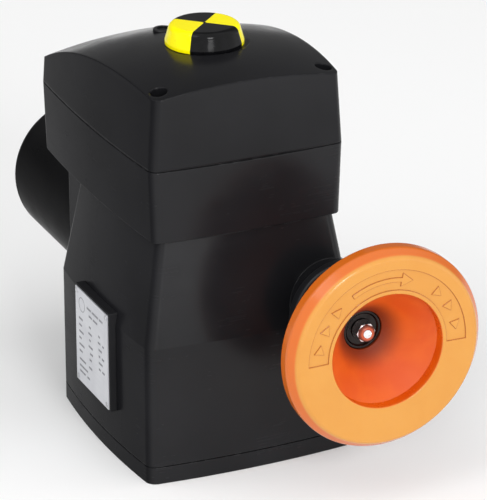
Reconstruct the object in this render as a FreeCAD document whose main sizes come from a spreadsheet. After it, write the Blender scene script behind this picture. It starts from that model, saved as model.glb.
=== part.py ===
import FreeCAD, Part
import math
import os

# Electric quarter-turn valve actuator with a funnel-shaped handwheel.
# Row frame: origin at the centre of the output drive on the mounting face, +Z up
# the output axis, -Y towards the handwheel, -X towards the nameplate.

os.makedirs("parts", exist_ok=True)
V = FreeCAD.Vector
doc = FreeCAD.newDocument("QuarterTurnActuator")

# ---------------------------------------------------------------- driving dimensions (mm)
DIMENSIONS = [
    ("seam_half_x", 75.3), ("seam_half_y", 107.1), ("floor_half_x", 73.6), ("floor_half_y", 107.1),
    ("crown_half_x", 71.9), ("crown_half_y", 105.9), ("case_side_bulge", 1262), ("case_front_bulge", 888),
    ("case_centre_y", 29.7), ("case_corner", 6), ("case_wall", 4), ("floor_level", 186.4),
    ("seam_level", 240.5), ("gasket_gap", 0.8), ("dome_radius", 350), ("dome_top", 305),
    ("dome_centre_y", -22), ("body_half_x", 82.3), ("body_half_y", 84.8), ("neck_half_x", 69.2),
    ("neck_half_y", 74.9), ("body_side_bulge", 679), ("body_front_bulge", 735), ("body_corner", 6.4),
    ("body_wall", 6), ("plate_thickness", 13.1), ("crease_level", 108), ("neck_level", 185.6),
    ("worm_x", 60), ("worm_level", 122), ("worm_pitch", 13), ("gear_module", 2), ("boss_reach", 113),
    ("boss_outer", 41), ("boss_neck", 31), ("shaft_small", 10), ("wheel_front", 183), ("wheel_outer", 76.5),
    ("wheel_opening", 43.5), ("wheel_rim_depth", 17), ("wheel_wall", 4.5),
    ("motor_x", -12.1), ("motor_level", 131.7), ("motor_outer", 57.9), ("motor_start", 103.5),
    ("motor_end", 222.2), ("motor_wall", 3.5), ("block_rear", 97), ("block_low", 84), ("block_high", 185),
    ("train_start", 56),
    ("train_width", 9), ("train_module", 1.5), ("drive_square", 22), ("output_outer", 22),
    ("pcd_small", 70), ("pcd_large", 102), ("thread_small", 4), ("thread_large", 5),
    ("indicator_base", 29), ("indicator_top", 24.5), ("indicator_level", 318.5), ("cam_radius", 15),
    ("cam_level", 214), ("inner_corner", 3), ("running_gap", 0.05), ("free_gap", 0.3),
]
sheet = doc.addObject("Spreadsheet::Sheet", "dims")
for row, (alias, number) in enumerate(DIMENSIONS, start=1):
    sheet.set("A%d" % row, alias)
    sheet.set("B%d" % row, str(number))
    sheet.setAlias("B%d" % row, alias)
doc.recompute()


class Size:
    """A length as a number together with the spreadsheet formula that gives it."""

    def __init__(self, value, text):
        self.value = value
        self.text = text

    def joined(self, sign, other, value):
        return Size(value, "(%s %s %s)" % (self.text, sign, text_of(other)))

    def __add__(self, other):
        return self.joined("+", other, self.value + value_of(other))

    def __sub__(self, other):
        return self.joined("-", other, self.value - value_of(other))

    def __mul__(self, other):
        return self.joined("*", other, self.value * value_of(other))

    def __truediv__(self, other):
        return self.joined("/", other, self.value / value_of(other))

    def __neg__(self):
        return Size(-self.value, "(-1 * %s)" % self.text)


def value_of(size):
    return size.value if isinstance(size, Size) else float(size)


def text_of(size):
    return size.text if isinstance(size, Size) else repr(float(size))


class Dimensions:
    """Every alias of the sheet as a Size attribute."""

    def __init__(self):
        for alias, _ in DIMENSIONS:
            setattr(self, alias, Size(float(sheet.get(alias)), "dims." + alias))


D = Dimensions()

# ---------------------------------------------------------------- building blocks
ALONG = {
    "+Z": FreeCAD.Rotation(),
    "-Z": FreeCAD.Rotation(V(1, 0, 0), 180),
    "+X": FreeCAD.Rotation(V(0, 1, 0), 90),
    "-X": FreeCAD.Rotation(V(0, 1, 0), -90),
    "+Y": FreeCAD.Rotation(V(1, 0, 0), -90),
    "-Y": FreeCAD.Rotation(V(1, 0, 0), 90),
}
sub_parts = []
made = [0]


def fresh(stem):
    """An internal object name that is used once."""
    made[0] += 1
    return "%s_%03d" % (stem, made[0])


def tie(obj, prop, size):
    """Give a property its value, bound to the sheet where it is a Size."""
    if not prop.startswith("Placement"):
        setattr(obj, prop, value_of(size))
    if isinstance(size, Size):
        obj.setExpression(prop, size.text)


def place(obj, at, along="+Z", turn=None):
    rotation = turn if turn else ALONG[along]
    obj.Placement = FreeCAD.Placement(V(*[value_of(c) for c in at]), rotation)
    for name, c in zip("xyz", at):
        if isinstance(c, Size):
            tie(obj, "Placement.Base." + name, c)
    return obj


def cylinder(at, radius, height, along="+Z"):
    obj = doc.addObject("Part::Cylinder", fresh("Cylinder"))
    tie(obj, "Radius", radius)
    tie(obj, "Height", height)
    return place(obj, at, along)


def cone(at, radius_1, radius_2, height, along="+Z"):
    obj = doc.addObject("Part::Cone", fresh("Cone"))
    tie(obj, "Radius1", radius_1)
    tie(obj, "Radius2", radius_2)
    tie(obj, "Height", height)
    return place(obj, at, along)


def box(low, size, turn=None):
    obj = doc.addObject("Part::Box", fresh("Box"))
    for prop, length in zip(("Length", "Width", "Height"), size):
        tie(obj, prop, length)
    return place(obj, low, "+Z", turn)


def torus(at, ring, tube, along="+Z"):
    obj = doc.addObject("Part::Torus", fresh("Torus"))
    tie(obj, "Radius1", ring)
    tie(obj, "Radius2", tube)
    return place(obj, at, along)


def prism(at, sides, corner_radius, height, along="+Z"):
    obj = doc.addObject("Part::Prism", fresh("Prism"))
    obj.Polygon = sides
    tie(obj, "Circumradius", corner_radius)
    tie(obj, "Height", height)
    return place(obj, at, along)


def fuse(*items):
    if len(items) == 1:
        return items[0]
    obj = doc.addObject("Part::MultiFuse", fresh("Union"))
    obj.Shapes = list(items)
    return obj


def cut(base, *tools):
    obj = doc.addObject("Part::Cut", fresh("Cut"))
    obj.Base = base
    obj.Tool = fuse(*tools)
    return obj


def common(base, tool):
    obj = doc.addObject("Part::Common", fresh("Common"))
    obj.Base = base
    obj.Tool = tool
    return obj


def group(*items):
    """Several separate solids as one sub-part."""
    obj = doc.addObject("Part::Compound", fresh("Group"))
    obj.Links = list(items)
    return obj


def tube(at, outer, inner, height, along="+Z"):
    reach = {"+Z": (0, 0, -1), "-Z": (0, 0, 1), "+X": (-1, 0, 0), "-X": (1, 0, 0),
             "+Y": (0, -1, 0), "-Y": (0, 1, 0)}[along]
    start = [c + r if r else c for c, r in zip(at, reach)]
    hollow = height + 2 if isinstance(height, Size) else value_of(height) + 2
    return cut(cylinder(at, outer, height, along), cylinder(start, inner, hollow, along))


def feature(shape):
    obj = doc.addObject("Part::Feature", fresh("Shape"))
    obj.Shape = shape
    return obj


def sub_part(name, obj):
    obj.Label = name
    sub_parts.append(obj)
    return obj


def origin_plane(body, role):
    return next(item for item in body.Origin.OriginFeatures if item.Role == role)


def sketch_on(body, role, nodes, level=None):
    """A closed outline through nodes (u, v) or (u, v, r): r is the radius of the arc that
    leads to the node, positive when the arc turns anticlockwise. The last node closes it."""
    sketch = body.newObject("Sketcher::SketchObject", fresh("Sketch"))
    sketch.AttachmentSupport = [(origin_plane(body, role), "")]
    sketch.MapMode = "FlatFace"
    if level is not None:
        sketch.AttachmentOffset = FreeCAD.Placement(V(0, 0, value_of(level)), FreeCAD.Rotation())
        if isinstance(level, Size):
            sketch.setExpression("AttachmentOffset.Base.z", level.text)
    points = [V(value_of(n[0]), value_of(n[1]), 0) for n in nodes]
    for i, node in enumerate(nodes):
        start = points[i - 1]
        end = points[i]
        if len(node) == 3:
            radius = abs(value_of(node[2]))
            turn = 1 if value_of(node[2]) > 0 else -1
            half = (end - start) * 0.5
            left = V(-half.y, half.x, 0).normalize() * turn
            centre = start + half + left * math.sqrt(max(radius ** 2 - half.Length ** 2, 0))
            middle = centre - left * radius
            sketch.addGeometry(Part.Arc(start, middle, end), False)
        else:
            sketch.addGeometry(Part.LineSegment(start, end), False)
    import Sketcher
    for i, node in enumerate(nodes):
        after = (i + 1) % len(nodes)
        first, last = joint_ends(nodes, i)
        next_first, _ = joint_ends(nodes, after)
        sketch.addConstraint(Sketcher.Constraint("Coincident", i, last, after, next_first))
    for i, node in enumerate(nodes):
        _, last = joint_ends(nodes, i)
        for kind, size in (("DistanceX", node[0]), ("DistanceY", node[1])):
            index = sketch.addConstraint(Sketcher.Constraint(kind, -1, 1, i, last, value_of(size)))
            if isinstance(size, Size):
                sketch.setExpression("Constraints[%d]" % index, size.text)
        if len(node) == 3:
            radius = abs(value_of(node[2]))
            index = sketch.addConstraint(Sketcher.Constraint("Radius", i, radius))
            if isinstance(node[2], Size):
                sign = "" if value_of(node[2]) > 0 else "-1 * "
                sketch.setExpression("Constraints[%d]" % index, sign + node[2].text)
    return sketch


def joint_ends(nodes, i):
    """Which end of edge i meets the node before it and which the node after it: an arc is
    stored anticlockwise, so a clockwise one has them the other way round."""
    clockwise = len(nodes[i]) == 3 and value_of(nodes[i][2]) < 0
    return (2, 1) if clockwise else (1, 2)


def body_at(at=(0, 0, 0), along="+Z", turn=None):
    return place(doc.addObject("PartDesign::Body", fresh("Body")), at, along, turn)


def revolved(nodes, at=(0, 0, 0), along="+Z"):
    """A turned part: nodes are (radius, height) around the body's own Z axis."""
    body = body_at(at, along)
    sketch = sketch_on(body, "XZ_Plane", nodes)
    spin = body.newObject("PartDesign::Revolution", fresh("Revolution"))
    spin.Profile = sketch
    spin.ReferenceAxis = (sketch, ["V_Axis"])
    spin.Angle = 360
    body.Tip = spin
    return body


def padded(nodes, height, at=(0, 0, 0), along="+Z", turn=None):
    """A part of one outline, pushed up the body's own Z axis by height."""
    body = body_at(at, along, turn)
    sketch = sketch_on(body, "XY_Plane", nodes)
    pad = body.newObject("PartDesign::Pad", fresh("Pad"))
    pad.Profile = sketch
    tie(pad, "Length", height)
    body.Tip = pad
    return body


def bulged_outline(half_x, half_y, side_bulge, front_bulge, corner):
    """A rectangle with shallow outward arcs for sides and rounded corners. half_x and half_y
    reach to where the sides would meet; corner is how far the rounding runs from there."""
    spread = value_of(half_x) / value_of(front_bulge) + value_of(half_y) / value_of(side_bulge)
    rounding = corner * (1 / math.tan((math.pi / 2 - spread) / 2))
    front_rise = corner * half_x / front_bulge - corner * corner / (front_bulge * 2)
    side_rise = corner * half_y / side_bulge - corner * corner / (side_bulge * 2)
    x_in = half_x - corner
    x_out = half_x + side_rise
    y_in = half_y - corner
    y_out = half_y + front_rise
    return [
        (x_in, -y_out, front_bulge), (x_out, -y_in, rounding), (x_out, y_in, side_bulge),
        (x_in, y_out, rounding), (-x_in, y_out, front_bulge), (-x_out, y_in, rounding),
        (-x_out, -y_in, side_bulge), (-x_in, -y_out, rounding),
    ]


def lofted(levels, side_bulge, front_bulge, centre_y=0, corner=None):
    """A stack of bulged rectangles (level, half_x, half_y) joined by straight walls."""
    body = body_at((0, centre_y, 0))
    rounding = corner if corner else D.inner_corner
    stages = [sketch_on(body, "XY_Plane", bulged_outline(x, y, side_bulge, front_bulge, rounding), level)
              for level, x, y in levels]
    for lower, upper in zip(stages, stages[1:]):
        loft = body.newObject("PartDesign::AdditiveLoft", fresh("Loft"))
        loft.Profile = lower
        loft.Sections = [upper]
        loft.Ruled = True
        body.Tip = loft
    return body


def round_edges(body, names, radius):
    solid = body.Tip
    fillet = body.newObject("PartDesign::Fillet", fresh("Fillet"))
    fillet.Base = (solid, names)
    tie(fillet, "Radius", radius)
    body.Tip = fillet


def spun_teeth(teeth, module, face, thin, at, along="+Z", phase=0.0, helix=0.0):
    """An involute gear blank: teeth thinned by thin, one tooth centred at angle phase,
    twisted by helix degrees over its face."""
    pitch = teeth * module / 2
    base = pitch * math.cos(math.radians(20))
    root = pitch - 1.25 * module
    tip = pitch + module
    half_tooth = math.pi / (2 * teeth) - thin / (2 * pitch)

    def flank_angle(radius):
        if radius <= base:
            return half_tooth + math.tan(math.radians(20)) - math.radians(20)
        pressure = math.acos(base / radius)
        involute = math.tan(pressure) - pressure
        return half_tooth + math.tan(math.radians(20)) - math.radians(20) - involute

    steps = [root] + [max(base, root) + (tip - max(base, root)) * k / 3 for k in range(4)]
    points = []
    for tooth in range(teeth):
        middle = math.radians(phase) + 2 * math.pi * tooth / teeth
        for radius in steps:
            angle = middle - flank_angle(radius)
            points.append(V(radius * math.cos(angle), radius * math.sin(angle), 0))
        for radius in reversed(steps):
            angle = middle + flank_angle(radius)
            points.append(V(radius * math.cos(angle), radius * math.sin(angle), 0))
    points.append(points[0])
    outline = Part.makePolygon(points)
    if helix:
        top = outline.copy()
        top.translate(V(0, 0, face))
        top.rotate(V(0, 0, 0), V(0, 0, 1), helix)
        solid = Part.makeLoft([outline, top], True, True)
    else:
        solid = Part.Face(outline).extrude(V(0, 0, face))
    return place(feature(solid), at, along)


def ring_of(count, radius, make, first=0.0):
    """Pieces made by make(x, y) at equal angles on a circle."""
    angles = [math.radians(first + 360.0 * k / count) for k in range(count)]
    return [make(radius * math.cos(a), radius * math.sin(a)) for a in angles]


def socket_screw(at, along, thread, length, head=1.5):
    """A cap screw whose seat is at the given point and whose shank runs along the axis."""
    step = {"-Z": (0, 0, 1), "+Z": (0, 0, -1), "+Y": (0, -1, 0), "-Y": (0, 1, 0),
            "+X": (-1, 0, 0), "-X": (1, 0, 0)}[along]
    head_height = 2 * thread
    top = [c + s * head_height for c, s in zip(at, step)]
    head_body = cylinder(top, thread * head, head_height, along)
    hexagon = prism(top, 6, thread * 0.95, thread, along)
    return fuse(cut(head_body, hexagon), cylinder(at, thread, length, along))


# ---------------------------------------------------------------- base plate and drive flange
def make_base_plate():
    plate = lofted([(0, D.body_half_x, D.body_half_y), (D.plate_thickness, D.body_half_x, D.body_half_y)],
                   D.body_side_bulge, D.body_front_bulge, 0, D.body_corner)
    holes = [cylinder((0, 0, -1), 25, 20), cylinder((0, 0, -1), 27.5, 4.2)]
    for pcd, thread in ((D.pcd_small, D.thread_small), (D.pcd_large, D.thread_large)):
        arm = value_of(pcd) / 2
        holes += ring_of(4, arm, lambda x, y: cylinder((x, y, -1), thread, 20), 45)
    for x, y in BASE_BOLTS:
        holes.append(cylinder((x, y, -1), 4.5, 20))
        holes.append(cylinder((x, y, -1), 6.6, 10))
    return sub_part("base_plate", cut(plate, *holes))


BASE_BOLTS = [(sx * 70, sy * 72) for sx in (-1, 1) for sy in (-1, 1)]
HOUSING_LEVEL = D.plate_thickness + D.gasket_gap


def make_base_trim():
    outer = lofted([(D.plate_thickness, D.body_half_x - 1.5, D.body_half_y - 1.5),
                    (HOUSING_LEVEL, D.body_half_x - 1.5, D.body_half_y - 1.5)],
                   D.body_side_bulge, D.body_front_bulge, 0, D.inner_corner)
    hollow = box((-62, -64, 10), (124, 128, 10))
    bolts = [cylinder((x, y, 10), 4.5, 10) for x, y in BASE_BOLTS]
    sub_part("base_gasket", cut(outer, hollow, *bolts))
    screws = [socket_screw((x, y, 9), "+Z", 4, 20) for x, y in BASE_BOLTS]
    sub_part("base_screws", group(*screws))


# ---------------------------------------------------------------- gear housing
def make_gear_housing():
    shell = lofted([(HOUSING_LEVEL, D.body_half_x, D.body_half_y), (D.crease_level, D.body_half_x, D.body_half_y),
                    (D.neck_level, D.neck_half_x, D.neck_half_y)],
                   D.body_side_bulge, D.body_front_bulge, 0, D.body_corner)
    wall = D.body_wall
    inside = lofted([(HOUSING_LEVEL - 1, D.body_half_x - wall, D.body_half_y - wall),
                     (D.crease_level - 2, D.body_half_x - wall, D.body_half_y - wall),
                     (D.neck_level - 8, D.neck_half_x - wall + 1.2, D.neck_half_y - wall + 1.2)],
                    D.body_side_bulge, D.body_front_bulge)
    posts = [cylinder((x, y, HOUSING_LEVEL), 9, 30) for x, y in BASE_BOLTS]
    corners = common(fuse(*posts), inside)
    boss_ring = tube((D.worm_x, -60, D.worm_level), D.boss_neck, 21, 45, "-Y")
    rear_seat = cylinder((D.worm_x, 86, D.worm_level), 21, 19, "-Y")
    pin_seat = cylinder((IDLER_X, 86, IDLER_LEVEL), 10, 17, "-Y")
    upper_seat = tube((0, 0, D.neck_level - 30), 30, 22, 30)
    walls = cut(fuse(shell, motor_block(27)), inside)
    body = fuse(walls, corners, boss_ring, rear_seat, pin_seat, upper_seat)
    openings = [
        cylinder((0, 0, D.neck_level - 40), 22, 60),
        cylinder((D.worm_x, -50, D.worm_level), 21, 60, "-Y"),
        cylinder((D.worm_x, 80, D.worm_level), BEARING_OUTER, 20, "-Y"),
        cylinder((IDLER_X, 85, IDLER_LEVEL), 6, 20, "-Y"),
        cylinder((D.motor_x, 60, D.motor_level), 26, 40, "+Y"),
        box((20, -30, D.neck_level - 15), (24, 34, 20)),
    ]
    openings += [cylinder((x, y, HOUSING_LEVEL - 1), 4, 22) for x, y in BASE_BOLTS]
    openings += [cylinder((x, y, D.neck_level - 12), 3, 20) for x, y in DECK_BOLTS]
    openings += [cylinder((x, 60, STOP_LEVEL), 5, 40, "+Y") for x in (-STOP_X, STOP_X)]
    openings += [cylinder((x, 88, z), 3, 16, "+Y") for x, z in MOTOR_BOLTS]
    openings += ring_on_worm(6, COVER_SCREW_RING, lambda x, z: cylinder((x, -86, z), 2.5, 20, "-Y"))
    plate_seat(shell)
    return sub_part("gear_housing", cut(body, *openings))


def ring_on_worm(count, radius, make, first=30.0):
    """Pieces made by make(x, z) at equal angles around the worm axis."""
    centre_x = value_of(D.worm_x)
    centre_z = value_of(D.worm_level)
    return ring_of(count, radius, lambda u, v: make(centre_x + u, centre_z + v), first)


def motor_block(depth):
    """The upright block that carries the motor. Its left side is level with the side of the motor."""
    half = D.motor_outer
    low = D.block_low - D.motor_level
    high = D.block_high - D.motor_level
    body = padded([(half, low), (half, high), (-half, high), (-half, low)], depth,
                  (D.motor_x, D.block_rear, D.motor_level), "-Y")
    doc.recompute()
    along_depth = ["Edge%d" % index for index, edge in enumerate(body.Shape.Edges, start=1)
                   if abs(edge.Length - depth) < 1e-6]
    round_edges(body, along_depth, 2)
    return body


def plate_seat(shell):
    """The raised rectangle on the left wall, cut to the wall's own shape."""
    block = box((-92, -33.6, 38.8), (18, 64.6, 78.8))
    sub_part("nameplate_carrier", cut(block, shell))


BEARING_OUTER = 17
BEARING_BORE = 10
BEARING_WIDTH = 12
COVER_SCREW_RING = 26
STOP_LEVEL = 40
STOP_X = 27
MOTOR_BOLTS = [(30.4, 143.1), (-23.5, 174.2), (-54.6, 120.3), (-0.7, 89.2)]

# Gear train at the rear: motor pinion, idler, worm gear, all in one plane.
PINION_TEETH = 14
IDLER_TEETH = 50
WORM_GEAR_TEETH = 18
WHEEL_TEETH = 47


def meeting_point(first, second, reach_first, reach_second):
    """The lower of the two points at the given distances from two centres in the x-z plane."""
    dx = second[0] - first[0]
    dz = second[1] - first[1]
    span = math.hypot(dx, dz)
    along = (reach_first ** 2 - reach_second ** 2 + span ** 2) / (2 * span)
    across = math.sqrt(reach_first ** 2 - along ** 2)
    return (first[0] + (dx * along + dz * across) / span, first[1] + (dz * along - dx * across) / span)


MOTOR_CENTRE = (value_of(D.motor_x), value_of(D.motor_level))
WORM_CENTRE = (value_of(D.worm_x), value_of(D.worm_level))
HALF_MODULE = value_of(D.train_module) / 2
IDLER_X, IDLER_LEVEL = meeting_point(MOTOR_CENTRE, WORM_CENTRE, (PINION_TEETH + IDLER_TEETH) * HALF_MODULE,
                                     (IDLER_TEETH + WORM_GEAR_TEETH) * HALF_MODULE)


# ---------------------------------------------------------------- control housing and cover
DECK_BOLTS = [(sx * 52, sy * 51) for sx in (-1, 1) for sy in (-1, 1)]
GLAND_LEVEL = 213
GLAND_Y = (40, 78)
COVER_SCREWS = [(-64, -65), (64, -65), (-64, 124), (64, 124)]


def make_control_housing():
    shell = lofted([(D.floor_level, D.floor_half_x, D.floor_half_y), (D.seam_level, D.seam_half_x, D.seam_half_y)],
                   D.case_side_bulge, D.case_front_bulge, D.case_centre_y, D.case_corner)
    wall = D.case_wall
    inside = lofted([(D.floor_level + 6, D.floor_half_x - wall, D.floor_half_y - wall),
                     (D.seam_level + 1, D.seam_half_x - wall, D.seam_half_y - wall)],
                    D.case_side_bulge, D.case_front_bulge, D.case_centre_y)
    saddle = cylinder((D.motor_x, 86, D.motor_level), D.motor_outer + 5, 60, "+Y")
    room = cut(inside, saddle)
    posts = fuse(*[cylinder((x, y, D.floor_level), 8.5, D.seam_level - D.floor_level) for x, y in COVER_SCREWS])
    lugs = [box((x - 4, 58, D.floor_level + 5), (8, 3.9, 42)) for x in (-46, 46)]
    body = fuse(cut(shell, room), common(posts, inside), *lugs)
    tunnel = cylinder((D.motor_x, 80, D.motor_level), D.motor_outer + 0.4, 70, "+Y")
    openings = [tunnel, cylinder((0, 0, D.floor_level - 2), 22, 20)]
    openings.append(box((20, -30, D.floor_level - 2), (24, 34, 20)))
    openings += [cylinder((60, y, GLAND_LEVEL), 10, 40, "+X") for y in GLAND_Y]
    openings += [cylinder((60, -20, GLAND_LEVEL), 10, 40, "+X")]
    openings += [cylinder((x, y, D.floor_level - 1), 3.3, 20) for x, y in DECK_BOLTS]
    openings += [cylinder((x, y, D.seam_level - 25), 3, 30) for x, y in COVER_SCREWS]
    return sub_part("control_housing", cut(body, *openings))


def make_case_trim():
    neck = lofted([(D.neck_level, D.neck_half_x - 1.5, D.neck_half_y - 1.5),
                   (D.floor_level, D.neck_half_x - 1.5, D.neck_half_y - 1.5)],
                  D.body_side_bulge, D.body_front_bulge)
    deck_holes = [cylinder((x, y, D.neck_level - 1), 3.3, 5) for x, y in DECK_BOLTS]
    deck_holes.append(box((-44, -42, D.neck_level - 1), (88, 84, 4)))
    sub_part("deck_gasket", cut(neck, *deck_holes))
    screws = [socket_screw((x, y, D.floor_level + 6), "-Z", 3, 14) for x, y in DECK_BOLTS]
    screws += [socket_screw((x, D.motor_start, z), "-Y", 3, 14) for x, z in MOTOR_BOLTS]
    sub_part("housing_screws", group(*screws))
    ring = lofted([(D.seam_level, D.seam_half_x - 1.2, D.seam_half_y - 1.2),
                   (D.seam_level + D.gasket_gap, D.seam_half_x - 1.2, D.seam_half_y - 1.2)],
                  D.case_side_bulge, D.case_front_bulge, D.case_centre_y, D.case_corner)
    hollow = lofted([(D.seam_level - 1, D.seam_half_x - 3.6, D.seam_half_y - 3.6),
                     (D.seam_level + 2, D.seam_half_x - 3.6, D.seam_half_y - 3.6)],
                    D.case_side_bulge, D.case_front_bulge, D.case_centre_y)
    sub_part("cover_gasket", cut(ring, hollow))


def dome(inset=0):
    ball = doc.addObject("Part::Sphere", fresh("Sphere"))
    tie(ball, "Radius", D.dome_radius - inset)
    return place(ball, (0, D.dome_centre_y, D.dome_top - D.dome_radius))


def make_top_cover():
    base = D.seam_level + D.gasket_gap
    block = lofted([(base, D.seam_half_x, D.seam_half_y), (D.dome_top - 12, D.crown_half_x, D.crown_half_y),
                    (D.dome_top + 4, D.crown_half_x - 0.5, D.crown_half_y - 0.5)],
                   D.case_side_bulge, D.case_front_bulge, D.case_centre_y, D.case_corner)
    outer = common(block, dome())
    wall = D.case_wall
    core = lofted([(base - 1, D.seam_half_x - wall, D.seam_half_y - wall),
                   (D.dome_top, D.crown_half_x - wall, D.crown_half_y - wall)],
                  D.case_side_bulge, D.case_front_bulge, D.case_centre_y)
    room = common(core, dome(wall))
    posts = [cylinder((x, y, base - 2), 8.5, 90) for x, y in COVER_SCREWS]
    pad = cylinder((0, 0, D.dome_top - 8), D.indicator_base + 2.5, 12)
    body = cut(outer, cut(room, pad, *posts))
    holes = [cylinder((x, y, base - 1), 3.3, 80) for x, y in COVER_SCREWS]
    holes += [cylinder((x, y, base + 14), 6.3, 80) for x, y in COVER_SCREWS]
    holes.append(cylinder((0, 0, D.dome_top - 1.8), D.indicator_base + 3.5, 10))
    holes.append(cylinder((0, 0, D.dome_top - 20), 12, 30))
    holes.append(cylinder((PLUG_X, PLUG_Y, D.dome_top - 22), 5, 30))
    holes.append(cylinder((PLUG_X, PLUG_Y, 295.4), 7.6, 10))
    return sub_part("top_cover", cut(body, *holes))


PLUG_X = -10
PLUG_Y = 54


def make_cover_trim():
    sub_part("cover_screws", group(*[socket_screw((x, y, D.seam_level + 14.8), "-Z", 3, 30)
                                     for x, y in COVER_SCREWS]))
    plug = revolved([(0, 285), (4.95, 285), (4.95, 295.7), (7.2, 295.7), (7.2, 297.6), (6.2, 298.6, 1), (4.4, 298.6),
                     (4.4, 296.6), (0, 296.6)], (PLUG_X, PLUG_Y, 0))
    sub_part("vent_plug", plug)
    sub_part("indicator_seal", tube((0, 0, D.dome_top - 6.5), 12, 6 + 0.08, 4))


# ---------------------------------------------------------------- worm cover, bearings and seal
def make_worm_cover():
    reach = D.boss_reach
    disc = revolved([(17, 88), (20.9, 88), (20.9, 105.4), (D.boss_outer, 105.4), (D.boss_outer, reach - 2.5),
                     (D.boss_outer - 2.5, reach, 2.5), (15, reach), (15, 102), (17, 102)],
                    (D.worm_x, 0, D.worm_level), "-Y")
    recesses = ring_on_worm(6, COVER_SCREW_RING, lambda x, z: cylinder((x, -108.5, z), 4.4, 10, "-Y"))
    recesses += ring_on_worm(6, COVER_SCREW_RING, lambda x, z: cylinder((x, -98, z), 2.7, 12, "-Y"))
    sub_part("worm_cover", cut(disc, *recesses))
    screws = ring_on_worm(6, COVER_SCREW_RING, lambda x, z: worm_cover_screw(x, z))
    sub_part("worm_cover_screws", group(*screws))
    sub_part("shaft_seal", tube((D.worm_x, -103, D.worm_level), 15, D.shaft_small + 0.05, 8, "-Y"))


def worm_cover_screw(x, z):
    head = cylinder((x, -108.6, z), 4, 4, "-Y")
    hexagon = prism((x, -110.2, z), 6, 2.4, 5, "-Y")
    return fuse(cut(head, hexagon), cylinder((x, -108.6, z), 2.4, 16, "+Y"))


BEARING_STARTS = (80, -89)


def make_bearings():
    outer = []
    inner = []
    balls = []
    for start in BEARING_STARTS:
        at = (D.worm_x, start, D.worm_level)
        outer.append(tube(at, BEARING_OUTER, 15.5, BEARING_WIDTH, "-Y"))
        inner.append(tube(at, 11.5, BEARING_BORE, BEARING_WIDTH, "-Y"))
        for k in range(14):
            angle = 2 * math.pi * k / 14
            ball = doc.addObject("Part::Sphere", fresh("Sphere"))
            ball.Radius = 1.9
            balls.append(place(ball, (D.worm_x + 13.5 * math.cos(angle), start - BEARING_WIDTH / 2,
                                      D.worm_level + 13.5 * math.sin(angle))))
    sub_part("bearing_outer_rings", group(*outer))
    sub_part("bearing_inner_races", group(*inner, *balls))


# ---------------------------------------------------------------- worm line and handwheel
def make_worm_shaft():
    core = revolved([(0, -79), (BEARING_BORE, -79), (BEARING_BORE, -34), (10.6, -34), (10.6, 34),
                     (BEARING_BORE, 34), (BEARING_BORE, 116), (8, 116), (8, 138), (4, 138), (4, 148), (0, 148)],
                    (D.worm_x, 0, D.worm_level), "-Y")
    thread = worm_thread(6, 12)
    thread.rotate(V(0, 0, 0), V(0, 0, 1), WORM_PHASE)
    screw = place(feature(thread), (D.worm_x, 0, D.worm_level), "-Y")
    return sub_part("worm_shaft", fuse(core, screw))


WORM_PHASE = 0


def worm_thread(turns, steps):
    """A right-hand trapezoidal thread around Z, lofted through steps sections per turn."""
    module = value_of(D.gear_module)
    pitch = math.pi * module
    radius = value_of(D.worm_pitch)
    half = pitch / 4 - 0.3
    slope = math.tan(math.radians(20))
    tip = radius + module
    root = 10.3
    tip_half = half - module * slope
    root_half = half + (radius - root) * slope
    corners = [V(tip, 0, tip_half), V(tip, 0, -tip_half), V(root, 0, -root_half), V(root, 0, root_half)]
    sections = []
    for step in range(turns * steps + 1):
        section = Part.makePolygon(corners + corners[:1])
        section.translate(V(0, 0, pitch * (step / steps - turns / 2)))
        section.rotate(V(0, 0, 0), V(0, 0, 1), 360.0 * step / steps)
        sections.append(section)
    return Part.makeLoft(sections, True, False)


def make_handwheel():
    front = D.wheel_front
    outer = D.wheel_outer
    back = front - D.wheel_rim_depth
    hole = D.wheel_opening
    wall = D.wheel_wall
    funnel = revolved([
        (15.1, 128), (19, 128), (19, 138), (hole + wall, front - 13), (hole + wall + 1.5, front - wall),
        (outer - 9.5, front - wall), (outer - wall, front - 10), (outer - wall, back), (outer - 2.2, back - 0.2),
        (outer, back + 2, 2.3), (outer, front - 8.87), (outer - 0.84, front - 6.42, 4), (outer - 4.9, front - 1.17),
        (outer - 7.27, front, 3), (hole + 0.6, front),
        (hole, front - 0.6), (hole, front - 9), (15.1, 143)], (D.worm_x, 0, D.worm_level), "-Y")
    return sub_part("handwheel", cut(funnel, wheel_marks()))


MARK_DEPTH = 0.8
MARK_RADIUS = 54.4
TRIANGLES = (169, 153, 137, 45, 29, 12)
BAND_ENDS = (-1, 181)


def wheel_marks():
    """A sunken band on the front ring. Raised triangles near both ends and a raised curved
    arrow between them point in the closing direction."""
    first, last = BAND_ENDS
    triangle = [(-2.9, -3.9), (4.2, 0), (-2.9, 3.9)]
    raised = [face_mark(triangle, angle, MARK_RADIUS) for angle in TRIANGLES]
    raised.append(ring_groove(MARK_RADIUS - 1.6, 3.2, 79, 121))
    raised.append(face_mark([(7.5, 0), (-1.5, 5), (-1.5, -5)], 78, MARK_RADIUS))
    return cut(ring_groove(D.wheel_opening + 3.2, 15.3, first, last), *raised)


def ring_groove(radius, width, first, last):
    """A groove along a circle of the wheel face, from one angle to another."""
    at = (D.worm_x, -(D.wheel_front - MARK_DEPTH), D.worm_level)
    turn = ALONG["-Y"] * FreeCAD.Rotation(V(0, 0, 1), first)
    sector = cylinder(at, radius + width, 3)
    sector.Angle = last - first
    sector.Placement = FreeCAD.Placement(sector.Placement.Base, turn)
    return cut(sector, cylinder(at, radius, 3, "-Y"))


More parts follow.
